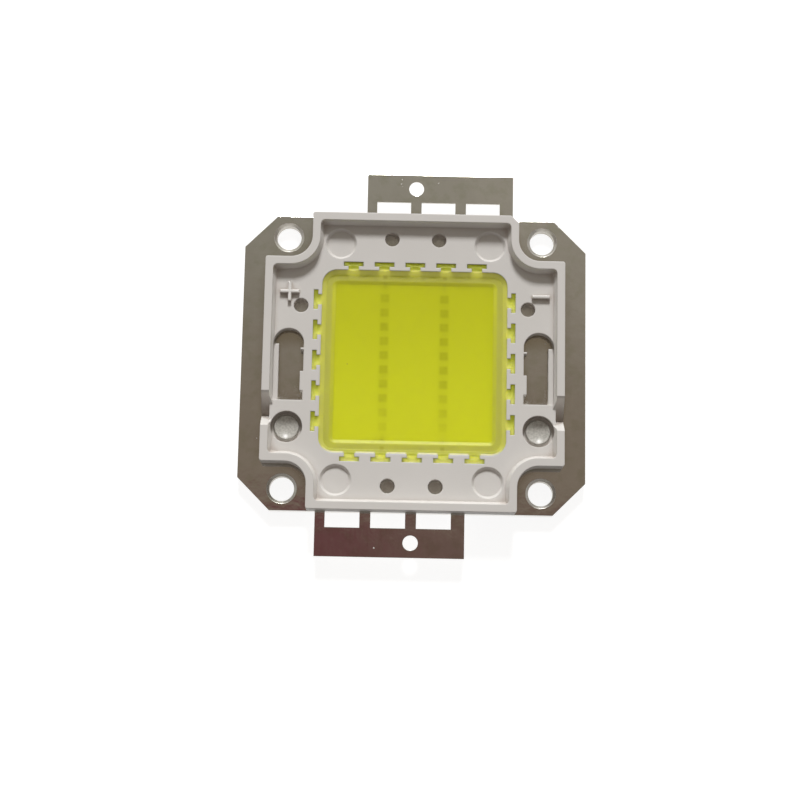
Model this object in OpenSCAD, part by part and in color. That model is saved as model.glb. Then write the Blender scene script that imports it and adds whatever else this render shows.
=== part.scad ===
// High-power LED module: a plated copper base plate, a moulded frame, two stamped leads, and two
// strings of LED dies under a casting of phosphor gel. It lies flat on its plate with +Z up.
// X runs across the plate, Y runs from the positive tab to the negative tab. All sizes are in mm.
// The well for the dies sets the window, the window sets the frame, and the frame sets the plate.

/* [Window] */
// Side of the square well that holds the dies
well_w = 22; // [18.6:0.1:26]
// Corner radius of the well
well_r = 0.8; // [0.3:0.1:1.2]
// Width of the ledge between the well and the window
ledge_w = 1.4; // [1.1:0.05:2]
// Corner radius of the window
window_r = 2; // [1.2:0.1:2.4]
// Number of keys on each side of the window
key_count = 5; // [3:1:5]
// Distance from a corner of the window to the middle of the nearest key
key_end = 4.14; // [3.4:0.02:4.8]
// Width of a key's neck
key_neck_w = 1.4; // [0.8:0.1:2]
// Length of a key's neck
key_neck_l = 0.5; // [0.3:0.05:0.6]
// Width of a key's head
key_head_w = 2.65; // [2.2:0.05:3.1]
// Length of a key's head
key_head_l = 0.6; // [0.3:0.05:0.7]

/* [Frame] */
// Distance from the window to the sides of the frame
side_w = 7.6; // [6.4:0.1:9]
// Distance from the window to the ends of the frame
end_w = 7.6; // [6.4:0.1:9]
// Thickness of the floor
floor_t = 1.5; // [1.2:0.1:2.5]
// Height of the rim above the floor
rim_h = 1.3; // [1:0.1:3]
// Thickness of the rim
rim_t = 1.05; // [0.8:0.05:1.3]
// Spread of the rim's foot over the floor
foot_w = 0.42; // [0.2:0.02:0.5]
// Height of the rim's foot
foot_h = 0.8; // [0.3:0.1:0.95]
// Free room kept round each screw for its head
screw_room = 3.3; // [2.8:0.1:3.8]
// Radius in the corner of each screw recess
recess_r = 2.9; // [1:0.1:3.4]
// Radius of the frame's outer corners
corner_r = 0.3; // [0.1:0.05:0.8]
// Radius of the corners inside the rim
tray_r = 0.6; // [0.2:0.05:1]
// Leg of the polarity cut at one end of the frame
polarity_cut = 1.05; // [0.4:0.05:2]

/* [Frame floor] */
// Distance of the line of slots and gate dimples from the middle of the side floor
slot_shift = 0.425; // [0:0.025:0.6]
// Width of a side slot
slot_w = 4.04; // [3.4:0.02:4.4]
// Distance from the window's negative end to the round end of a slot
slot_round_in = 8.15; // [7.2:0.05:9]
// Distance from the window's positive end to the square end of a slot
slot_square_in = 6.95; // [6:0.05:8]
// Width of the sunk ledge along the outer side of a slot
slot_ledge_w = 0.7; // [0.3:0.05:1]
// Depth of that ledge below the floor
slot_ledge_depth = 0.6; // [0.2:0.05:1]
// Width of the catch and of the nib in a slot
catch_w = 0.42; // [0.2:0.02:0.6]
// Length of the catch
catch_l = 2.6; // [1.5:0.1:3]
// Distance from the square end of a slot to its catch
catch_in = 1.3; // [0.8:0.05:1.8]
// Length of the nib
nib_l = 0.25; // [0.15:0.05:0.5]
// Distance from the round end of a slot to its nib
nib_in = 2.63; // [2.3:0.01:3]
// Diameter of the gate dimples
gate_d = 4.2; // [3:0.1:4.6]
// Distance from the window's positive end to the middle of a gate dimple
gate_in = 3.35; // [2.9:0.05:3.8]
// Depth of a gate dimple
gate_depth = 1; // [0.7:0.05:1.1]
// Width of the groove round the stub in a gate dimple
gate_groove = 0.36; // [0.2:0.02:0.6]
// Height of that stub above the groove
gate_stub_h = 0.4; // [0.25:0.05:0.6]
// Depth of the bowl in that stub
gate_bowl = 0.46; // [0.2:0.02:0.5]
// Diameter of the ejector marks
ejector_d = 4.2; // [2:0.05:4.4]
// Depth of the ejector marks
ejector_depth = 0.4; // [0.1:0.02:0.5]
// Width of the slope round an ejector mark
ejector_slope = 0.32; // [0.1:0.02:0.5]
// Distance of the ejector marks from the sides of the end arms
ejector_side = 3.8; // [3.3:0.05:4.4]
// Distance of the ejector marks from the ends of the frame
ejector_end = 4; // [3.5:0.1:4.6]
// Diameter of the pin holes
pin_d = 1.95; // [1.2:0.05:2.2]
// Distance between the pin holes at each end of the frame
pin_gap = 6.3; // [5.4:0.05:7.2]
// Distance of those pin holes from the ends of the frame
pin_end = 3.3; // [2.8:0.1:3.8]
// Distance of the side pin holes from the line of slots
pin_side = 1.5; // [1:0.05:1.7]
// Distance from the window's negative end to the side pin holes
pin_in = 5; // [4.3:0.05:5.7]
// Distance from the window's positive end to the start of a rim notch
notch_start_in = 7.95; // [6.8:0.05:9]
// Distance from the window's positive end to the lowest line of a rim notch
notch_low_in = 4.9; // [4.2:0.05:5.6]
// Distance from the window's positive end to the end of a rim notch
notch_end_in = 3.35; // [2.9:0.05:3.9]
// Depth of a rim notch
notch_depth = 2.4; // [1.6:0.1:2.5]

/* [Base plate] */
// Width of the plate past each side of the frame
ear_w = 3; // [2.5:0.1:6]
// Thickness of the plate
plate_t = 1.5; // [1.2:0.1:3]
// Leg of the cut at each corner of the plate
plate_cut = 4.3; // [2:0.1:5.2]
// Diameter of the screw holes
screw_d = 3.3; // [2.5:0.1:3.8]
// Distance of the screw holes from the sides of the plate
screw_side = 5.9; // [5:0.1:6.8]
// Distance of the screw holes from the ends of the plate
screw_end = 2.9; // [2.5:0.1:3.4]
// Width of the pressed edge round each screw hole
screw_edge = 0.35; // [0.1:0.05:0.45]
// Depth of that edge
screw_edge_h = 0.3; // [0.1:0.05:0.45]
// Diameter of the studs that hold the frame in the plate
stud_d = 2.2; // [1.6:0.1:2.6]
// Diameter of the stud heads at the back of the plate
stud_head_d = 3.4; // [2.8:0.1:4]
// Height of the stud heads
stud_head_h = 0.6; // [0.3:0.1:0.8]
// Set-back of the stud heads from the back of the plate
stud_back = 0.1; // [0.05:0.05:0.2]

/* [Leads] */
// Thickness of the lead sheet
lead_t = 0.3; // [0.2:0.05:0.4]
// Gap between the plate and the leads
lead_gap = 0.35; // [0.3:0.05:0.45]
// Distance of a tab from the side of the frame's end arm
tab_inset = 0.72; // [0.4:0.02:1.2]
// How far a tab stands out of the frame
tab_out = 6; // [5:0.1:9]
// Number of windows in a tab
tab_windows = 3; // [2:1:3]
// Width of a tab window
tab_window_w = 4.56; // [3.8:0.02:5.2]
// Length of a tab window outside the frame
tab_window_l = 2.15; // [1:0.05:2.5]
// Width of the leg at the left end of a tab
leg_left = 1.33; // [1:0.01:1.6]
// Width of the legs between the windows
leg_middle = 1.44; // [1:0.02:1.7]
// Width of the leg at the right end of a tab
leg_right = 1.8; // [1:0.05:2.1]
// Diameter of the wire hole in a tab
wire_hole_d = 2; // [1:0.1:2.3]
// Distance from the end of a tab to its wire hole
wire_hole_end = 1.95; // [1.6:0.05:2.2]
// Distance of a bond bar's ends from the sides of the well
bar_end = 0.6; // [0.3:0.05:1.5]
// Set-back of the bond bars from the well
bar_back = 0.3; // [0.1:0.05:0.5]
// Width of the bond bars
bar_w = 3.3; // [2.6:0.1:3.8]

/* [Dies and wires] */
// Number of dies in a string
die_count = 10; // [4:1:10]
// Side of a die
die_w = 1.14; // [0.9:0.02:1.32]
// Thickness of a die
die_t = 0.15; // [0.1:0.01:0.2]
// Distance between the two strings
string_gap = 8; // [4:0.5:14]
// Distance from the well's wall to the middle of the nearest die
string_end = 2.27; // [1.9:0.01:2.6]
// Distance of a bond foot from the middle of its die
foot_shift = 0.35; // [0.25:0.01:0.36]
// Thickness of a bond wire
wire_d = 0.06; // [0.03:0.01:0.07]
// Diameter of a bond foot
bond_d = 0.18; // [0.12:0.01:0.2]
// Height of a bond foot
bond_h = 0.08; // [0.07:0.01:0.1]
// Rise of the wires between dies
link_rise = 0.3; // [0.2:0.02:0.4]
// Rise of the wires between the end dies and the leads
end_rise = 0.2; // [0.17:0.01:0.24]
// Distance from the edge of a bond bar to its bond feet
bar_bond = 0.35; // [0.25:0.01:0.6]

/* [Gel] */
// Height of the gel's sunk middle above the ledge
gel_cover = 0.1; // [0.08:0.01:0.2]
// Height of the gel's border above its sunk middle
gel_rise = 0.22; // [0.05:0.01:0.28]
// Width of the slope round the sunk middle
gel_slope = 0.45; // [0.3:0.05:0.7]
// Corner radius at the top of that slope
gel_corner = 0.8; // [0.75:0.05:1.6]
// Depth of the gel's edge below the frame's floor
gel_below = 0.05; // [0.02:0.01:0.2]
// Width of the gel's climb from its border to that edge
gel_climb = 0.6; // [0.2:0.05:0.8]
// Depth of the hollow in the gel of a key
key_fall = 0.08; // [0.04:0.01:0.25]
// Share of that hollow's length and width that each of its slopes takes
key_share = 0.3; // [0.1:0.02:0.44]

/* [Hidden] */
$fn = 48;
// Overshoot of a cut past the face that it opens
over = 1;
// Straight steps in a drawn arc
steps = 8;

// Sizes that follow from those above
window_w = well_w + 2 * ledge_w;
frame_w = window_w + 2 * side_w;
frame_l = window_w + 2 * end_w;
plate_w = frame_w + 2 * ear_w;
plate_l = frame_l;
screw_x = plate_w / 2 - screw_side;
screw_y = plate_l / 2 - screw_end;
arm_x = screw_x - screw_room;
arm_y = screw_y - screw_room;
key_pitch = (window_w - 2 * key_end) / (key_count - 1);
key_depth = key_neck_l + key_head_l;
die_pitch = (well_w - 2 * string_end) / (die_count - 1);

// Levels above the back of the plate
lead_z = plate_t + lead_gap;
ledge_z = lead_z + lead_t;
floor_z = plate_t + floor_t;
top_z = floor_z + rim_h;
film_z = ledge_z + gel_cover + gel_rise;
edge_z = floor_z - gel_below;
die_z = plate_t + die_t;

// Places on the frame's floor
corner_y = window_w / 2;
slot_x = (window_w / 2 + key_depth + frame_w / 2 - rim_t) / 2 + slot_shift;
slot_round_y = corner_y - slot_round_in;
slot_square_y = slot_square_in - corner_y;
gate_y = gate_in - corner_y;
ejector_x = arm_x - ejector_side;
ejector_y = frame_l / 2 - ejector_end;

// Places on the leads
bar_y = well_w / 2 + bar_back;
leg_y = bar_y + bar_w;
tab_y = frame_l / 2 + tab_out;
tab_pitch = tab_window_w + leg_middle;
window_reach = (tab_windows * tab_pitch - leg_middle) / 2;
tab_w = 2 * window_reach + leg_left + leg_right;
tab_shift = arm_x - tab_inset - leg_right - window_reach;

// Colours as the photograph shows them
plate_colour = [0.47, 0.43, 0.37];
frame_colour = [0.77, 0.75, 0.72];
lead_colour = [0.52, 0.50, 0.46];
gel_colour = [0.74, 0.76, 0.16];
die_colour = [0.35, 0.45, 0.55];
wire_colour = [0.85, 0.68, 0.3];

sides = ["left", "right"];
function two_digits(i) = i < 10 ? str("0", i) : str(i);
function die_name(side, i) = str("die_", side, "_", two_digits(i));
function wire_name(side, i) = str("wire_", side, "_", two_digits(i));

// Radius of an arc over a chord
function arc_radius(chord, rise) = (chord * chord / 4 + rise * rise) / (2 * rise);

// Repeats its children in all four quadrants
module four_corners() {
    for (mx = [0, 1]) {
        for (my = [0, 1]) {
            mirror([mx, 0]) mirror([0, my]) children();
        }
    }
}

// Repeats its children on the right and mirrored on the left
module both_sides() {
    for (mx = [0, 1]) {
        mirror([mx, 0, 0]) children();
    }
}

// A centred square with rounded corners
module rounded_square(side, r) {
    square([side, side - 2 * r], center = true);
    square([side - 2 * r, side], center = true);
    four_corners() translate([side / 2 - r, side / 2 - r]) circle(r);
}

// A straight prism between two levels, drawn from its outline
module between(low, high) {
    translate([0, 0, low]) linear_extrude(high - low) children();
}

// A square pan below a level, open upwards, with sloping sides and round corners
module pan(side, corner, slope, depth) {
    run = side / 2 - corner;
    section = [
        [0, -depth],
        [corner - slope, -depth],
        [corner, 0],
        [corner, over],
        [0, over]
    ];
    between(-depth, over) square(2 * run, center = true);
    for (turn = [0:90:270]) {
        rotate(turn)
            translate([run, 0, 0])
                rotate([90, 0, 0])
                    linear_extrude(2 * run, center = true)
                        polygon(section);
        rotate(turn) translate([run, run, 0]) rotate_extrude(angle = 90) polygon(section);
    }
}

// A square prism on its corner, to cut the corner of an outline by a leg
module corner_prism(leg, low, high) {
    between(low, high) rotate(45) square(leg * sqrt(2), center = true);
}

// Base plate

module screw_hole() {
    translate([0, 0, -over]) cylinder(d = screw_d, h = plate_t + 2 * over);
    translate([0, 0, plate_t - screw_edge_h])
        cylinder(d1 = screw_d, d2 = screw_d + 2 * screw_edge, h = screw_edge_h);
}

// One stud of the frame, from its set-back head to the top of the plate
module stud() {
    translate([0, 0, stud_back]) cylinder(d1 = stud_head_d, d2 = stud_d, h = stud_head_h);
    translate([0, 0, stud_back + stud_head_h])
        cylinder(d = stud_d, h = plate_t - stud_back - stud_head_h);
}

module base_plate() {
    color(plate_colour)
        difference() {
            between(0, plate_t) square([plate_w, plate_l], center = true);
            four_corners() {
                translate([plate_w / 2, plate_l / 2, 0])
                    corner_prism(plate_cut, -over, plate_t + over);
                translate([screw_x, screw_y, 0]) screw_hole();
                translate([ejector_x, ejector_y, 0]) {
                    stud();
                    translate([0, 0, -over]) cylinder(d = stud_head_d, h = over + stud_back);
                }
            }
        }
}

// Leads

// A lead seen from above with its tab at +Y: tab, legs and bond bar
module lead_outline(shift) {
    left = shift - window_reach - leg_left;
    difference() {
        translate([left, leg_y]) square([tab_w, tab_y - leg_y]);
        for (i = [0:tab_windows - 1]) {
            translate([shift - window_reach + i * tab_pitch, leg_y])
                square([tab_window_w, frame_l / 2 + tab_window_l - leg_y]);
        }
        translate([shift - sign(shift) * tab_pitch / 2, tab_y - wire_hole_end])
            circle(d = wire_hole_d);
    }
    translate([bar_end - well_w / 2, bar_y]) square([well_w - 2 * bar_end, bar_w]);
    translate([left, bar_y + bar_w / 2]) square([tab_w, bar_w / 2]);
}

module lead_negative() {
    color(lead_colour) between(lead_z, ledge_z) lead_outline(tab_shift);
}

module lead_positive() {
    color(lead_colour) mirror([0, 1, 0]) between(lead_z, ledge_z) lead_outline(-tab_shift);
}

// Frame

// What rounding takes off a corner at the origin that points to +X and +Y
module corner_cut(r) {
    difference() {
        translate([-r, -r]) square(2 * r);
        translate([-r, -r]) circle(r);
    }
}

// The frame's cross-shaped outline, drawn in from its edge by an inset
module frame_outline(inset, corner) {
    r = recess_r + inset;
    difference() {
        square([frame_w - 2 * inset, frame_l - 2 * inset], center = true);
        four_corners() {
            translate([arm_x - inset, arm_y - inset]) {
                translate([r, r]) circle(r);
                translate([r, 0]) square([frame_w, frame_l]);
                translate([0, r]) square([frame_w, frame_l]);
            }
            translate([frame_w / 2 - inset, arm_y - inset]) corner_cut(corner);
            translate([arm_x - inset, frame_l / 2 - inset]) corner_cut(corner);
        }
    }
}

// Repeats its children at every key, with the window's wall along X and the key towards +Y
module at_keys() {
    for (turn = [0:90:270]) {
        for (i = [0:key_count - 1]) {
            rotate(turn)
                translate([(i - (key_count - 1) / 2) * key_pitch, window_w / 2])
                    children();
        }
    }
}

// The window with the T-shaped keys on all four sides
module window_outline() {
    rounded_square(window_w, window_r);
    at_keys() {
        translate([-key_neck_w / 2, -key_neck_l]) square([key_neck_w, 2 * key_neck_l]);
        translate([-key_head_w / 2, key_neck_l]) square([key_head_w, key_head_l]);
    }
}

// Section of the rim's foot, with its root inside the rim
module foot_section() {
    polygon([
        [-rim_t / 2, 0],
        [foot_w, 0],
        [0, foot_h],
        [-rim_t / 2, foot_h]
    ]);
}

// A straight stretch of foot along +X, facing +Y
module foot_run(length) {
    rotate([90, 0, 90]) linear_extrude(length) foot_section();
}

// The rim's foot in one quadrant: two half walls, two arm walls and the round wall between them
module foot_quadrant() {
    centre_x = arm_x + recess_r;
    centre_y = arm_y + recess_r;
    wall_x = frame_w / 2 - rim_t;
    wall_y = frame_l / 2 - rim_t;
    translate([arm_x - rim_t / 2, wall_y, 0]) rotate(180) foot_run(arm_x - rim_t / 2);
    translate([wall_x, 0, 0]) rotate(90) foot_run(arm_y - rim_t / 2);
    translate([arm_x - rim_t, centre_y, 0]) rotate(90) foot_run(wall_y + rim_t / 2 - centre_y);
    translate([wall_x + rim_t / 2, arm_y - rim_t, 0])
        rotate(180)
            foot_run(wall_x + rim_t / 2 - centre_x);
    translate([centre_x, centre_y, 0])
        rotate(180)
            rotate_extrude(angle = 90)
                translate([recess_r + rim_t, 0])
                    foot_section();
}

// A block against the inner wall of a slot, from a Y upwards
module slot_block(y, length) {
    translate([slot_x - slot_w / 2 - catch_w, y, 0]) cube([2 * catch_w, length, top_z]);
}

// A slot through the floor, with a sunk ledge on its outer side and two blocks on its inner side
module side_slot() {
    round_y = slot_round_y - slot_w / 2;
    difference() {
        union() {
            between(floor_z - slot_ledge_depth, floor_z + over / 2) {
                translate([slot_x, round_y]) circle(d = slot_w);
                translate([slot_x - slot_w / 2, slot_square_y])
                    square([slot_w, round_y - slot_square_y]);
            }
            between(plate_t - over, floor_z + over / 2) {
                intersection() {
                    translate([slot_x, round_y]) circle(d = slot_w);
                    translate([slot_x - slot_w / 2, round_y]) square(slot_w);
                }
                translate([slot_x - slot_w / 2, slot_square_y])
                    square([slot_w - slot_ledge_w, round_y - slot_square_y]);
            }
        }
        slot_block(slot_square_y + catch_in, catch_l);
        slot_block(slot_round_y - nib_in - nib_l, nib_l);
    }
}

// A round groove about a stub, where the moulding's gate was broken off and left a shallow bowl
module gate_dimple() {
    r = gate_d / 2;
    bowl_r = r - 1.5 * gate_groove;
    bowl_z = gate_stub_h - gate_bowl - gate_depth;
    sphere_r = arc_radius(2 * bowl_r, gate_bowl);
    bowl = [
        for (i = [0:steps])
            let (x = bowl_r * i / steps)
                [x, bowl_z + sphere_r - sqrt(sphere_r * sphere_r - x * x)]
    ];
    groove = [[r - gate_groove, -gate_depth], [r, -gate_depth], [r, foot_h], [0, foot_h]];
    translate([slot_x, gate_y, floor_z]) rotate_extrude() polygon(concat(bowl, groove));
}

// A scoop from an X outwards: a long slope down and a short one up
module scoop(x) {
    translate([x, -corner_y, top_z])
        rotate([90, 0, 90])
            linear_extrude(frame_w / 2 + over - x)
                polygon([
                    [notch_start_in, 0],
                    [notch_low_in, -notch_depth],
                    [notch_end_in, 0],
                    [notch_end_in, over],
                    [notch_start_in, over]
                ]);
}

// A notch across the rim and, above the floor, through its foot
module rim_notch() {
    rim_x = frame_w / 2 - rim_t;
    scoop(rim_x);
    intersection() {
        scoop(rim_x - foot_w);
        between(floor_z, top_z + over) square([frame_w, frame_l], center = true);
    }
}

module pin_hole() {
    translate([0, 0, plate_t - over]) cylinder(d = pin_d, h = floor_t + 2 * over);
}

module ejector_mark() {
    translate([0, 0, floor_z - ejector_depth])
        cylinder(d1 = ejector_d - 2 * ejector_slope, d2 = ejector_d, h = ejector_depth);
}

module frame() {
    color(frame_colour)
        difference() {
            union() {
                difference() {
                    between(plate_t, top_z) frame_outline(0, corner_r);
                    between(floor_z, top_z + over) frame_outline(rim_t, tray_r);
                }
                translate([0, 0, floor_z]) four_corners() foot_quadrant();
                four_corners() translate([ejector_x, ejector_y, 0]) stud();
            }
            between(plate_t - over, floor_z) rounded_square(well_w, well_r);
            between(ledge_z, floor_z + over) window_outline();
            four_corners() {
                translate([ejector_x, ejector_y, 0]) ejector_mark();
                translate([pin_gap / 2, frame_l / 2 - pin_end, 0]) pin_hole();
            }
            both_sides() {
                translate([slot_x - pin_side, corner_y - pin_in, 0]) pin_hole();
                side_slot();
                gate_dimple();
                rim_notch();
            }
            translate([arm_x, frame_l / 2, 0])
                corner_prism(polarity_cut, plate_t - over, top_z + over);
            lead_negative();
            lead_positive();
        }
}

// Dies and wires

// Y of die number i, counted from the negative lead
function die_y(i) = well_w / 2 - string_end - (i - 1) * die_pitch;
function string_x(side) = side == "left" ? -string_gap / 2 : string_gap / 2;

module die(side, i) {
    translate([string_x(side) - die_w / 2, die_y(i) - die_w / 2, plate_t])
        cube([die_w, die_w, die_t]);
}

// A bond wire between two feet, each given as [y, z] of the face that it stands on
module bond_wire(from, to, rise) {
    chord = norm(to - from);
    r = arc_radius(chord, rise);
    sweep = 2 * asin(chord / 2 / r);
    turns = [for (i = [0:steps]) sweep * (i / steps - 1 / 2)];
    outer = [for (a = turns) (r + wire_d / 2) * [sin(a), cos(a)]];
    inner = [for (a = turns) (r - wire_d / 2) * [-sin(a), cos(a)]];
    for (end = [from, to]) {
        translate([0, end[0], end[1]]) cylinder(d = bond_d, h = bond_h, $fn = 8);
    }
    translate([0, (from[0] + to[0]) / 2, (from[1] + to[1] + bond_h) / 2])
        rotate([atan2(to[1] - from[1], to[0] - from[0]), 0, 0])
            translate([0, 0, rise - r])
                rotate([90, 0, 90])
                    linear_extrude(wire_d, center = true)
                        polygon(concat(outer, inner));
}

// Wire number i of a string: from the negative lead, die by die, to the positive lead
module wire(side, i) {
    bar = [bar_y + bar_bond, ledge_z];
    translate([string_x(side), 0, 0]) {
        if (i == 1) {
            bond_wire([die_y(1) + foot_shift, die_z], bar, end_rise);
        } else if (i == die_count + 1) {
            mirror([0, 1, 0]) bond_wire([foot_shift - die_y(die_count), die_z], bar, end_rise);
        } else {
            bond_wire([die_y(i) + foot_shift, die_z], [die_y(i - 1) - foot_shift, die_z], link_rise);
        }
    }
}

// Phosphor gel

// Section of a hollow with two sloping sides
function trough(span) = [
    [0, 0],
    [key_share * span, -key_fall],
    [(1 - key_share) * span, -key_fall],
    [span, 0],
    [span, over],
    [0, over]
];

// A hollow with four sloping sides, from the origin towards +Y
module hollow(width, length) {
    intersection() {
        translate([-width / 2, length, 0])
            rotate([90, 0, 0])
                linear_extrude(length)
                    polygon(trough(width));
        translate([-width / 2, 0, 0])
            rotate([90, 0, 90])
                linear_extrude(width)
                    polygon(trough(length));
    }
}

// The hollow in the gel of a key: one along its neck, from inside the window, and one across its head
module key_hollow() {
    translate([0, -2 * gel_climb, 0]) hollow(key_neck_w, 2 * gel_climb + key_depth);
    translate([0, key_neck_l, 0]) hollow(key_head_w, key_head_l);
}

module phosphor_gel() {
    color(gel_colour)
        difference() {
            union() {
                between(plate_t, film_z) rounded_square(well_w, well_r);
                between(ledge_z, edge_z) window_outline();
            }
            translate([0, 0, film_z]) pan(well_w, gel_corner, gel_slope, gel_rise);
            translate([0, 0, edge_z]) {
                pan(window_w, window_r, gel_climb, edge_z - film_z);
                at_keys() key_hollow();
            }
            for (side = sides) {
                for (i = [1:die_count]) {
                    die(side, i);
                }
                for (i = [1:die_count + 1]) {
                    wire(side, i);
                }
            }
        }
}

base_plate();
frame();
lead_negative();
lead_positive();
phosphor_gel();
for (side = sides) {
    for (i = [1:die_count]) {
        color(die_colour) die(side, i);
    }
    for (i = [1:die_count + 1]) {
        color(wire_colour) wire(side, i);
    }
}
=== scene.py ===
import math

import bmesh
import bpy
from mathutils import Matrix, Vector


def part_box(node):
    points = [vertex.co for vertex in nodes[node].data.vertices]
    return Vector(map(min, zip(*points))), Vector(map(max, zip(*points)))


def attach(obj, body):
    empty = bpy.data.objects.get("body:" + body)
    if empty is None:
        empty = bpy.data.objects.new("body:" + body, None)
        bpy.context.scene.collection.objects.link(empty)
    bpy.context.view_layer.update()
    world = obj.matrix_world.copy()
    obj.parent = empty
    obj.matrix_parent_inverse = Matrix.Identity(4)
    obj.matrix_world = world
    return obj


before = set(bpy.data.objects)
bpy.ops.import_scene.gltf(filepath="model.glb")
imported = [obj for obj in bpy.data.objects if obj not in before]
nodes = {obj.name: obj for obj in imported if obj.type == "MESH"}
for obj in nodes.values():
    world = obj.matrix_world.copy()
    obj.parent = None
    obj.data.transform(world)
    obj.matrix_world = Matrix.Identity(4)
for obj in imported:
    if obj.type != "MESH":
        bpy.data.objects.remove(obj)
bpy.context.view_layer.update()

MM = 0.001
WHITE = [1, 1, 1, 1]
# Places of the colour sockets of a mix node
MIX_A = 6
MIX_B = 7
MIX_RESULT = 2

# The places below are in millimetres, in the frame of the part.
# Level of the frame's floor, which the polarity marks stand on, and of the top of its rim
FLOOR_Z = 3.0
RIM_TOP = 4.3
# Half width and corner radius of the well under the gel, and of the window round it
WELL_HALF = 11.0
WELL_CORNER = 0.8
WINDOW_HALF = 12.4
WINDOW_CORNER = 2.0
# Distance between the keys round the window, and a line just beyond the outer ones
KEY_PITCH = 4.13
KEY_REACH = 9.8
# Reach of the strings of dies from the middle, and of the outer feet of their wires
STRING_REACH = 9.3
FEET_REACH = 11.65
# Middle of the right gate dimple in the frame, and radius of the broken stub in it
GATE_X = 16.65
GATE_Y = -9.05
GATE_R = 1.95
# Inner face of the rim at its sides, and start and lowest line of the notches in it
RIM_X = 18.95
NOTCH_START = -4.45
NOTCH_LOW = -7.5
# Middle line of the right slot in the frame, reach of its walls, and the slots' square and round ends
SLOT_X = 16.65
SLOT_REACH = 2.1
SLOT_LOW = -5.45
SLOT_HIGH = 4.25
# Distance of the screw holes from the middle of the plate, and radius of their pressed edges
SCREW_X = 17.1
SCREW_Y = 17.1
PRESSED_R = 2.0
# Middles of the raised marks, half width and half length of their bars, height and rounding
PLUS_AT = (-16.7, 9.2)
MINUS_AT = (16.85, 9.1)
MARK_BAR = 0.22
PLUS_HALF = 1.3
MINUS_HALF = 1.2
MARK_HEIGHT = 0.55
MARK_ROUND = 0.12


def srgb(red, green, blue):
    """Linear colour of a screen colour from 0 to 255."""
    parts = (v / 255 for v in (red, green, blue))
    return [v / 12.92 if v < 0.04045 else ((v + 0.055) / 1.055) ** 2.4 for v in parts] + [1.0]


class Field:
    """A value in a node tree that takes part in sums, so that patterns read as formulas."""

    def __init__(self, tree, socket):
        self.tree = tree
        self.socket = socket

    def math(self, operation, *others):
        """The result of a named operation on the value and others."""
        node = self.tree.nodes.new("ShaderNodeMath")
        node.operation = operation
        for slot, value in zip(node.inputs, (self, *others)):
            if isinstance(value, Field):
                self.tree.links.new(value.socket, slot)
            else:
                slot.default_value = value
        return Field(self.tree, node.outputs[0])

    def __add__(self, other):
        return self.math("ADD", other)

    def __sub__(self, other):
        return self.math("SUBTRACT", other)

    def __mul__(self, other):
        return self.math("MULTIPLY", other)

    def __abs__(self):
        return self.math("ABSOLUTE")

    def flip(self):
        """1 where the value is 0, and 0 where it is 1."""
        return self * -1.0 + 1.0

    def rise(self, low, high):
        """0 below low, 1 above high, and smooth between them."""
        node = self.tree.nodes.new("ShaderNodeMapRange")
        node.interpolation_type = "SMOOTHSTEP"
        node.inputs["From Min"].default_value = low
        node.inputs["From Max"].default_value = high
        self.tree.links.new(self.socket, node.inputs["Value"])
        return Field(self.tree, node.outputs["Result"])

    def fall(self, low, high):
        """1 below low, 0 above high, and smooth between them."""
        return self.rise(low, high).flip()

    def mix(self, a, b):
        """The colour a where the value is 0 and b where it is 1."""
        node = self.tree.nodes.new("ShaderNodeMix")
        node.data_type = "RGBA"
        self.tree.links.new(self.socket, node.inputs["Factor"])
        for place, colour in ((MIX_A, a), (MIX_B, b)):
            if isinstance(colour, list):
                node.inputs[place].default_value = colour
            else:
                self.tree.links.new(colour, node.inputs[place])
        return node.outputs[MIX_RESULT]


def split(tree, vector):
    """X, Y and Z of a vector."""
    node = tree.nodes.new("ShaderNodeSeparateXYZ")
    tree.links.new(vector, node.inputs[0])
    return [Field(tree, out) for out in node.outputs]


def length(u, v):
    """Length of a vector in a plane."""
    return (u * u + v * v).math("SQRT")


def outside(x, y, half, corner):
    """Distance outside a centred square with rounded corners, negative within it."""
    u = (abs(x) - (half - corner)).math("MAXIMUM", 0.0)
    v = (abs(y) - (half - corner)).math("MAXIMUM", 0.0)
    return length(u, v) - corner


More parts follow.
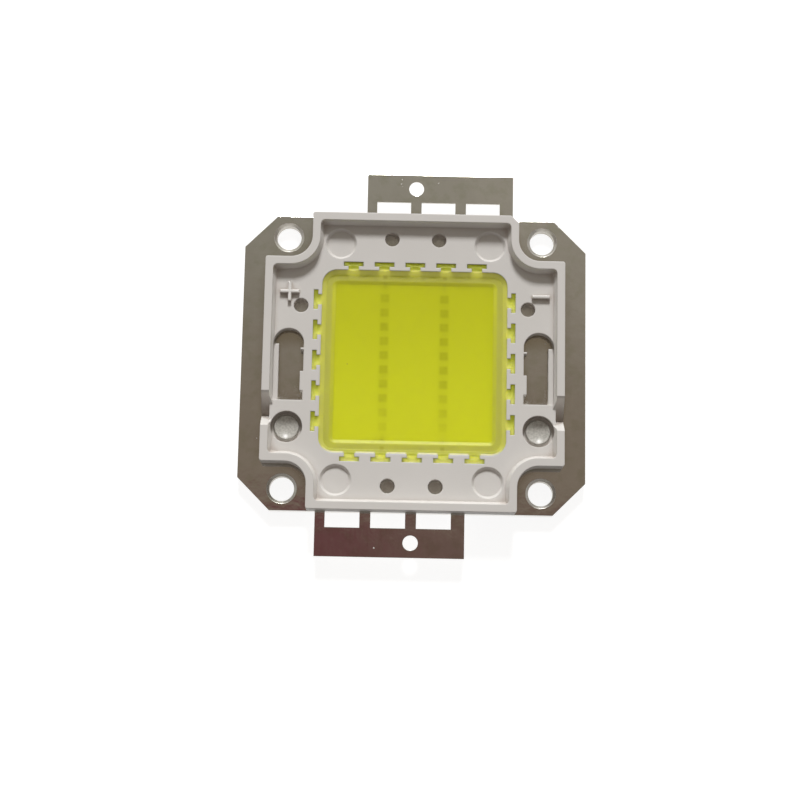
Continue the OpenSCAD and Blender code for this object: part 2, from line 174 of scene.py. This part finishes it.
class Look:
    """A material in the making: its node tree, its shader and the place that patterns are drawn in."""

    def __init__(self, name):
        self.material = bpy.data.materials.new(name)
        self.material.use_nodes = True
        self.tree = self.material.node_tree
        self.shader = self.tree.nodes["Principled BSDF"]
        self.coords = self.tree.nodes.new("ShaderNodeTexCoord").outputs["Object"]

    def set(self, **values):
        """Sets inputs of the shader, with _ for the spaces in their names."""
        for name, value in values.items():
            self.shader.inputs[name.replace("_", " ")].default_value = value

    def feed(self, name, socket):
        """Leads a socket to an input of the shader."""
        self.tree.links.new(socket, self.shader.inputs[name])

    def place(self):
        """X, Y and Z of the point, in millimetres."""
        return [part * (1 / MM) for part in split(self.tree, self.coords)]

    def noise(self, size_mm, detail=3.0, stretch=(1, 1, 1)):
        """Noise from 0 to 1 with grains of about that size."""
        mapping = self.tree.nodes.new("ShaderNodeMapping")
        mapping.inputs["Scale"].default_value = [1 / s for s in stretch]
        self.tree.links.new(self.coords, mapping.inputs["Vector"])
        node = self.tree.nodes.new("ShaderNodeTexNoise")
        node.inputs["Scale"].default_value = 1 / (size_mm * MM)
        node.inputs["Detail"].default_value = detail
        self.tree.links.new(mapping.outputs[0], node.inputs["Vector"])
        return Field(self.tree, node.outputs["Fac"])

    def specks(self, spacing_mm, size_mm, share):
        """Small round specks, in that share of the cells of a random pattern."""
        node = self.tree.nodes.new("ShaderNodeTexVoronoi")
        node.inputs["Scale"].default_value = 1 / (spacing_mm * MM)
        self.tree.links.new(self.coords, node.inputs["Vector"])
        radius = size_mm / 2 / spacing_mm
        dot = Field(self.tree, node.outputs["Distance"]).fall(radius / 2, radius)
        picked = split(self.tree, node.outputs["Color"])[0].fall(share, share + 0.01)
        return dot * picked

    def open_air(self, reach_mm):
        """1 on open faces, and less near walls that stand over them."""
        node = self.tree.nodes.new("ShaderNodeAmbientOcclusion")
        node.samples = 8
        node.inputs["Distance"].default_value = reach_mm * MM
        return Field(self.tree, node.outputs["AO"])

    def surface(self, round_mm, grain, depth_mm):
        """Softens the edges and lays a fine relief over the surface."""
        bevel = self.tree.nodes.new("ShaderNodeBevel")
        bevel.samples = 8
        bevel.inputs["Radius"].default_value = round_mm * MM
        bump = self.tree.nodes.new("ShaderNodeBump")
        bump.inputs["Distance"].default_value = depth_mm * MM
        self.tree.links.new(grain.socket, bump.inputs["Height"])
        self.tree.links.new(bevel.outputs[0], bump.inputs["Normal"])
        self.feed("Normal", bump.outputs[0])


def in_slot(x, y):
    """1 in the slots of the frame and on their walls."""
    along = y.rise(SLOT_LOW - 0.5, SLOT_LOW - 0.3) * y.fall(SLOT_HIGH + 0.3, SLOT_HIGH + 0.5)
    return abs(abs(x) - SLOT_X).fall(SLOT_REACH, SLOT_REACH + 0.2) * along


def in_notch(x, y, z):
    """1 on the slopes of the notches, from their start to their lowest line."""
    within = (abs(x) - RIM_X).rise(-0.1, 0.0) * z.fall(RIM_TOP - 0.3, RIM_TOP - 0.05)
    return within * y.rise(NOTCH_LOW - 0.1, NOTCH_LOW) * y.fall(NOTCH_START, NOTCH_START + 0.1)


def plastic(name, dark, light):
    """Matt moulded plastic, with painted shade in its corners and painted light and shade down the
    notches.

    It is greyer and glossier where the gates were broken off.
    """
    corner_painted_shade = [0.36, 0.29, 0.24, 1]
    notch_painted_light = [0.92, 0.89, 0.85, 1]
    notch_painted_shade = [0.33, 0.28, 0.24, 1]
    broken_dark = [0.42, 0.41, 0.38, 1]
    broken_light = [0.55, 0.54, 0.50, 1]
    look = Look(name)
    x, y, z = look.place()
    grain = look.noise(0.25)
    open_air = look.open_air(1.5)
    # Painted shade: the plastic is browner where walls stand close over it, much less so low in the
    # slots.
    corner_shade = open_air.rise(0.3, 0.5) * open_air.fall(0.5, 0.85) * 0.65
    corner_shade = corner_shade * (in_slot(x, y) * z.fall(FLOOR_Z - 0.1, FLOOR_Z) * -0.8 + 1.0)
    colour = corner_shade.mix(look.noise(5.0).mix(dark, light), corner_painted_shade)
    # Painted light and shade down each notch: pale where its slope starts and dark at its lowest line.
    slope = y.fall(NOTCH_LOW, NOTCH_START).mix(notch_painted_light, notch_painted_shade)
    colour = in_notch(x, y, z).mix(colour, slope)
    gate = length(abs(x) - GATE_X, y - GATE_Y).fall(GATE_R - 0.4, GATE_R)
    broken = grain.rise(0.35, 0.65).mix(broken_dark, broken_light)
    look.feed("Base Color", gate.mix(colour, broken))
    look.feed("Roughness", (gate * -0.2 + 0.5).socket)
    look.set(Specular_IOR_Level=0.35)
    look.surface(0.16, grain, 0.004)
    return look.material


def splashes(look, y):
    """A few splashes all over the metal, and many at the end of the negative tab."""
    many = look.specks(0.7, 0.24, 0.25) * y.rise(22.5, 26.0)
    return look.specks(1.6, 0.3, 0.12).math("MAXIMUM", many)


def plated_metal(name, dark, light, round_mm):
    """Bright plating, cloudy, tarnished, streaked and splashed, with painted shade near walls and at the
    round ends of the slots.

    The bottoms of the pin holes are pale and dull, and the pressed edges of the screw holes are dull.
    """
    tarnished = [0.62, 0.62, 0.53, 1]
    near_wall_painted_shade = [0.38, 0.33, 0.25, 1]
    in_pit = [0.82, 0.81, 0.76, 1]
    round_end_painted_shade = [0.46, 0.40, 0.30, 1]
    splash = [0.9, 0.9, 0.88, 1]
    look = Look(name)
    x, y = look.place()[:2]
    cloud = look.noise(4.0).rise(0.3, 0.7)
    streaks = look.noise(0.3, 2.0, (1, 10, 1))
    tarnish = look.noise(1.8, 4.0).rise(0.45, 0.7) * 0.6
    specks = splashes(look, y)
    open_air = look.open_air(3.0)
    pit = open_air.fall(0.25, 0.42)
    # Painted shade at the round ends of the slots.
    round_end_shade = in_slot(x, y) * y.rise(SLOT_HIGH - 2.9, SLOT_HIGH - 0.8) * 0.65
    pressed = length(abs(x) - SCREW_X, abs(y) - SCREW_Y).fall(PRESSED_R, PRESSED_R + 0.1)
    plating = tarnish.mix((cloud * 0.7 + streaks * 0.3).mix(dark, light), tarnished)
    # Painted shade: the plating is browner where walls stand close over it.
    plating = open_air.rise(0.3, 0.65).mix(near_wall_painted_shade, plating)
    plating = pit.mix(plating, in_pit)
    plating = round_end_shade.mix(plating, round_end_painted_shade)
    dull = streaks * 0.04 + 0.04 + specks * 0.5 + pit * 0.5 + pressed * 0.3
    look.feed("Base Color", specks.mix(plating, splash))
    look.feed("Roughness", dull.socket)
    look.set(Metallic=1.0)
    look.surface(round_mm, look.noise(2.5), 0.012)
    return look.material


def grained(name, grain_mm, dark, light, **values):
    """A plain finish with a fine grain of two colours."""
    look = Look(name)
    look.feed("Base Color", look.noise(grain_mm).mix(dark, light))
    look.set(**values)
    return look.material


def die_rows():
    """Distance of the strings from the middle, and pitch and half width of the dies, in millimetres."""
    low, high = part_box("die_right_01")
    next_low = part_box("die_right_02")[0]
    centre = (low.x + high.x) / 2 / MM
    return centre, (low.y - next_low.y) / MM, (high.x - low.x) / 2 / MM


def die_shade(x, y, cloud):
    """How dark the gel is over the dies, and a little over the rest of their strings."""
    string_x, pitch, half = die_rows()
    across = abs(abs(x) - string_x)
    along = abs((y * (1 / pitch)).math("FRACT") - 0.5) * pitch
    in_string = abs(y).fall(STRING_REACH, STRING_REACH + 0.5)
    dies = across.fall(half - 0.25, half + 0.2) * along.fall(half - 0.25, half + 0.2) * in_string
    strip = across.fall(half - 0.1, half + 0.4) * in_string
    return (dies * 0.8 + strip * 0.12) * (cloud * 0.9 + 0.4) * y.rise(-16.0, 4.0)


def wire_feet(x, y):
    """1 over the outer feet of the strings' wires."""
    across = abs(abs(x) - die_rows()[0])
    return across.fall(0.1, 0.45) * abs(abs(y) - FEET_REACH).fall(0.1, 0.45)


def key_place(place):
    """Distance along a side of the window from the middle of the nearest key."""
    return ((place * (1 / KEY_PITCH) + 0.5).math("FRACT") - 0.5) * KEY_PITCH


def beside_window(x, y):
    """1 at the two sides of the window, and 0 at its ends."""
    return (abs(x) - abs(y)).rise(-1.5, 1.5)


def neck_front(x):
    """1 in front of the necks of the keys at the window's ends, and 0 between them."""
    return abs(key_place(x)).fall(0.6, 1.0) * abs(x).fall(KEY_REACH, KEY_REACH + 0.2)


def key_gel(x, y):
    """Colour of the gel in the keys, with painted shade: darker towards the negative end, where their
    walls stand over it, and darker on the wings of the keys at the window's ends.
    """
    pale = [0.90, 0.95, 0.16, 1]
    key_painted_shade = [0.44, 0.47, 0.04, 1]
    wing_painted_shadow = [0.20, 0.22, 0.08, 1]
    beside = beside_window(x, y)
    at_end = beside.flip()
    # Painted shade: darker on the side of each key towards the negative end, and on the wings of the keys
    # at the window's ends.
    key_shading = beside * key_place(y).rise(-0.9, 0.9) + at_end * y.rise(-1.0, 1.0)
    wing_shadow = abs(key_place(x)).rise(0.85, 1.3) * at_end * 0.6
    return wing_shadow.mix(key_shading.mix(pale, key_painted_shade), wing_painted_shadow)


def gel_middle(look, x, y, cloud, edge):
    """Colour over the well: darker over the dies, speckled, and paler on the slope at its edge, which is
    painted light, brighter towards the high-Y end.
    """
    low = [0.82, 0.89, 0.022, 1]
    high = [0.66, 0.69, 0.013, 1]
    over_die = [0.52, 0.54, 0.004, 1]
    speck = [0.5, 0.5, 0.05, 1]
    slope_painted_light_low = [0.66, 0.67, 0.10, 1]
    slope_painted_light_high = [0.88, 0.90, 0.10, 1]
    place = y.rise(-WELL_HALF, WELL_HALF)
    colour = die_shade(x, y, cloud).mix(place.mix(low, high), over_die)
    colour = look.specks(3.0, 0.2, 0.25).mix(colour, speck)
    # Painted light: the slope at the edge of the well is paler, brighter towards the high-Y end.
    return (edge.rise(-0.6, -0.25) * 0.6).mix(colour, place.mix(slope_painted_light_low, slope_painted_light_high))


def gel_border(x, y, wall, neck):
    """Colour round the well: on the ledge, on the climb to the window's walls and in the keys. The climb
    is paler at the high-Y end and darker at the low-Y end, with a painted highlight along its top there,
    and the keys have painted shade.
    """
    on_ledge = [0.73, 0.74, 0.11, 1]
    over_feet = [0.45, 0.43, 0.03, 1]
    climb_low = [0.40, 0.41, 0.045, 1]
    lip_painted_highlight = [0.76, 0.75, 0.44, 1]
    climb_high = [0.88, 0.87, 0.20, 1]
    climb_side = [0.73, 0.73, 0.13, 1]
    colour = (wire_feet(x, y) * 0.5).mix(on_ledge, over_feet)
    # Painted highlight: a whitish line close along the window's wall at the low-Y end, between the necks
    # of the keys.
    lip = wall.rise(-0.35, -0.15) * neck.flip()
    climb = y.rise(-12.0, 12.0).mix(lip.mix(climb_low, lip_painted_highlight), climb_high)
    climb = beside_window(x, y).mix(climb, climb_side)
    colour = wall.rise(-0.75, -0.4).mix(colour, climb)
    return wall.rise(0.0, 0.3).mix(colour, key_gel(x, y))


def gel_painted_glow(y, edge, wall, neck):
    """Painted glow: emission at the climb, in the keys and on the slope, standing in for light that has
    spread in the gel and leaves it again there.
    """
    high = y.rise(0.0, 12.0)
    climb = wall.rise(-0.8, -0.5) * (neck * wall.fall(0.0, 0.4) * high * 0.09 + 0.1)
    return climb + edge.rise(-0.6, -0.3) * edge.fall(-0.1, 0.1) * high * 0.05


def gel():
    """Silicone with yellow phosphor, which light spreads in."""
    look = Look("phosphor_gel")
    x, y = look.place()[:2]
    cloud = look.noise(1.5)
    edge = outside(x, y, WELL_HALF, WELL_CORNER)
    wall = outside(x, y, WINDOW_HALF, WINDOW_CORNER)
    neck = neck_front(x)
    middle = gel_middle(look, x, y, cloud, edge)
    border = gel_border(x, y, wall, neck)
    look.feed("Base Color", edge.rise(-0.15, 0.25).mix(middle, border))
    # Painted glow: the border's colour is given off as a little light of its own.
    look.feed("Emission Color", border)
    look.feed("Emission Strength", gel_painted_glow(y, edge, wall, neck).socket)
    look.set(Roughness=0.45, Specular_IOR_Level=0.25)
    look.set(Subsurface_Weight=1.0, Subsurface_Radius=(1.0, 1.0, 0.3), Subsurface_Scale=1.6 * MM)
    look.surface(0.15, cloud, 0.01)
    return look.material


def dress():
    """Gives every CAD node its material, by its name or the first word of it."""
    gold_dark = srgb(200, 160, 60)
    gold_light = srgb(235, 200, 110)
    looks = {
        "lead": plated_metal("tab_metal", [0.70, 0.68, 0.64, 1], [0.76, 0.74, 0.70, 1], 0.08),
        "base_plate": plated_metal("plate_metal", [0.68, 0.66, 0.62, 1], [0.74, 0.72, 0.68, 1], 0.06),
        "frame": plastic("moulded_plastic", [0.675, 0.655, 0.63, 1], [0.715, 0.695, 0.675, 1]),
        "phosphor_gel": gel(),
        "die": grained("die", 0.2, srgb(70, 95, 120), srgb(110, 140, 160), Roughness=0.2),
        "wire": grained("bond_gold", 0.1, gold_dark, gold_light, Metallic=1.0, Roughness=0.3),
    }
    for name, node in nodes.items():
        kind = name if name in looks else name.split("_")[0]
        node.data.materials.clear()
        node.data.materials.append(looks[kind])


def raised_mark(name, middle, outline, material):
    """A mark with rounded edges on the frame's floor, from its middle and its outline in millimetres."""
    shape = bmesh.new()
    places = [((u + middle[0]) * MM, (v + middle[1]) * MM, FLOOR_Z * MM) for u, v in outline]
    face = shape.faces.new([shape.verts.new(place) for place in places])
    lifted = bmesh.ops.extrude_face_region(shape, geom=[face])["geom"]
    top = [item for item in lifted if isinstance(item, bmesh.types.BMVert)]
    bmesh.ops.translate(shape, verts=top, vec=(0, 0, MARK_HEIGHT * MM))
    edges = [item for item in lifted if isinstance(item, bmesh.types.BMEdge)]
    bmesh.ops.bevel(shape, geom=edges, offset=MARK_ROUND * MM, segments=3, profile=0.5, affect="EDGES")
    bmesh.ops.recalc_face_normals(shape, faces=shape.faces)
    mesh = bpy.data.meshes.new(name)
    shape.to_mesh(mesh)
    shape.free()
    mesh.materials.append(material)
    piece = bpy.data.objects.new(name, mesh)
    bpy.context.scene.collection.objects.link(piece)
    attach(piece, "root")


def plus_outline():
    """Outline of the plus: the end of one arm and the corner beside it, turned four times."""
    quarter = [(MARK_BAR, PLUS_HALF), (-MARK_BAR, PLUS_HALF), (-MARK_BAR, MARK_BAR)]
    outline = []
    for _ in range(4):
        outline += quarter
        quarter = [(-v, u) for u, v in quarter]
    return outline


def polarity_marks():
    """The raised plus and minus beside the window."""
    # Painted light: the marks' plastic is paler than the frame's, for their lit tops.
    material = plastic("mark_plastic_painted_light", [0.76, 0.745, 0.72, 1], [0.82, 0.805, 0.785, 1])
    ends = ((1, 1), (-1, 1), (-1, -1), (1, -1))
    minus = [(u * MINUS_HALF, v * MARK_BAR) for u, v in ends]
    raised_mark("mark_plus", PLUS_AT, plus_outline(), material)
    raised_mark("mark_minus", MINUS_AT, minus, material)


def floor_white():
    """A grey that the camera, metal and glass see as white, so that shadows stay pale."""
    look = Look("floor_white")
    look.set(Base_Color=(0.3, 0.3, 0.3, 1), Roughness=0.9, Specular_IOR_Level=0.0, Emission_Color=WHITE)
    rays = look.tree.nodes.new("ShaderNodeLightPath").outputs
    seen = Field(look.tree, rays["Is Camera Ray"])
    for kind in ("Is Glossy Ray", "Is Transmission Ray"):
        seen = seen.math("MAXIMUM", Field(look.tree, rays[kind]))
    look.feed("Emission Strength", (seen * 0.88).socket)
    return look.material


def floor():
    """A white floor just under the part."""
    half = 2.0
    level = -0.02 * MM
    corners = [(-half, -half, level), (half, -half, level), (half, half, level), (-half, half, level)]
    mesh = bpy.data.meshes.new("floor")
    mesh.from_pydata(corners, [], [(0, 1, 2, 3)])
    mesh.materials.append(floor_white())
    sheet = bpy.data.objects.new("floor", mesh)
    bpy.context.scene.collection.objects.link(sheet)


def lamp():
    """A soft lamp from the negative end."""
    data = bpy.data.lights.new("key", "SUN")
    data.energy = 2.92
    data.angle = math.radians(13)
    key = bpy.data.objects.new("key", data)
    key.rotation_euler = (math.radians(-56), 0, 0)
    bpy.context.scene.collection.objects.link(key)


def room():
    """A room with a dark red patch nearly overhead, warmer behind it, and a white horizon."""
    overhead = [0.19, 0.17, 0.155, 1]
    red_left = [0.142, 0.056, 0.06, 1]
    red_right = [0.162, 0.106, 0.09, 1]
    brown = [0.235, 0.195, 0.155, 1]
    warm_left = [0.305, 0.29, 0.247, 1]
    warm_right = [0.36, 0.335, 0.285, 1]
    wall_near = [0.40, 0.385, 0.365, 1]
    wall_far = [0.70, 0.70, 0.68, 1]
    world = bpy.data.worlds.new("room")
    bpy.context.scene.world = world
    world.use_nodes = True
    tree = world.node_tree
    x, y, z = split(tree, tree.nodes.new("ShaderNodeTexCoord").outputs["Generated"])
    red = x.rise(-0.05, 0.04).mix(red_left, red_right)
    warm = x.rise(-0.06, 0.1).mix(warm_left, warm_right)
    wall = y.rise(-0.7, 0.2).mix(wall_near, wall_far)
    sky = y.rise(0.04, 0.08).mix(overhead, red)
    sky = y.rise(0.107, 0.128).mix(sky, brown)
    sky = y.rise(0.14, 0.30).mix(sky, warm)
    sky = z.fall(0.1, 0.4).mix(sky, wall)
    sky = z.fall(0.06, 0.12).mix(sky, WHITE)
    tree.links.new(sky, tree.nodes["Background"].inputs["Color"])


def camera():
    """The photograph's view, nearly from above."""
    data = bpy.data.cameras.new("camera")
    data.lens = 81
    data.sensor_width = 36
    data.clip_start = 0.01
    eye = bpy.data.objects.new("camera", data)
    eye.location = (-2.47 * MM, -47.19 * MM, 237.41 * MM)
    eye.rotation_euler = (0.1772, -0.0068, 0.0196)
    bpy.context.scene.collection.objects.link(eye)
    bpy.context.scene.camera = eye


dress()
polarity_marks()
floor()
lamp()
room()
camera()
bpy.context.scene.view_settings.view_transform = "Standard"
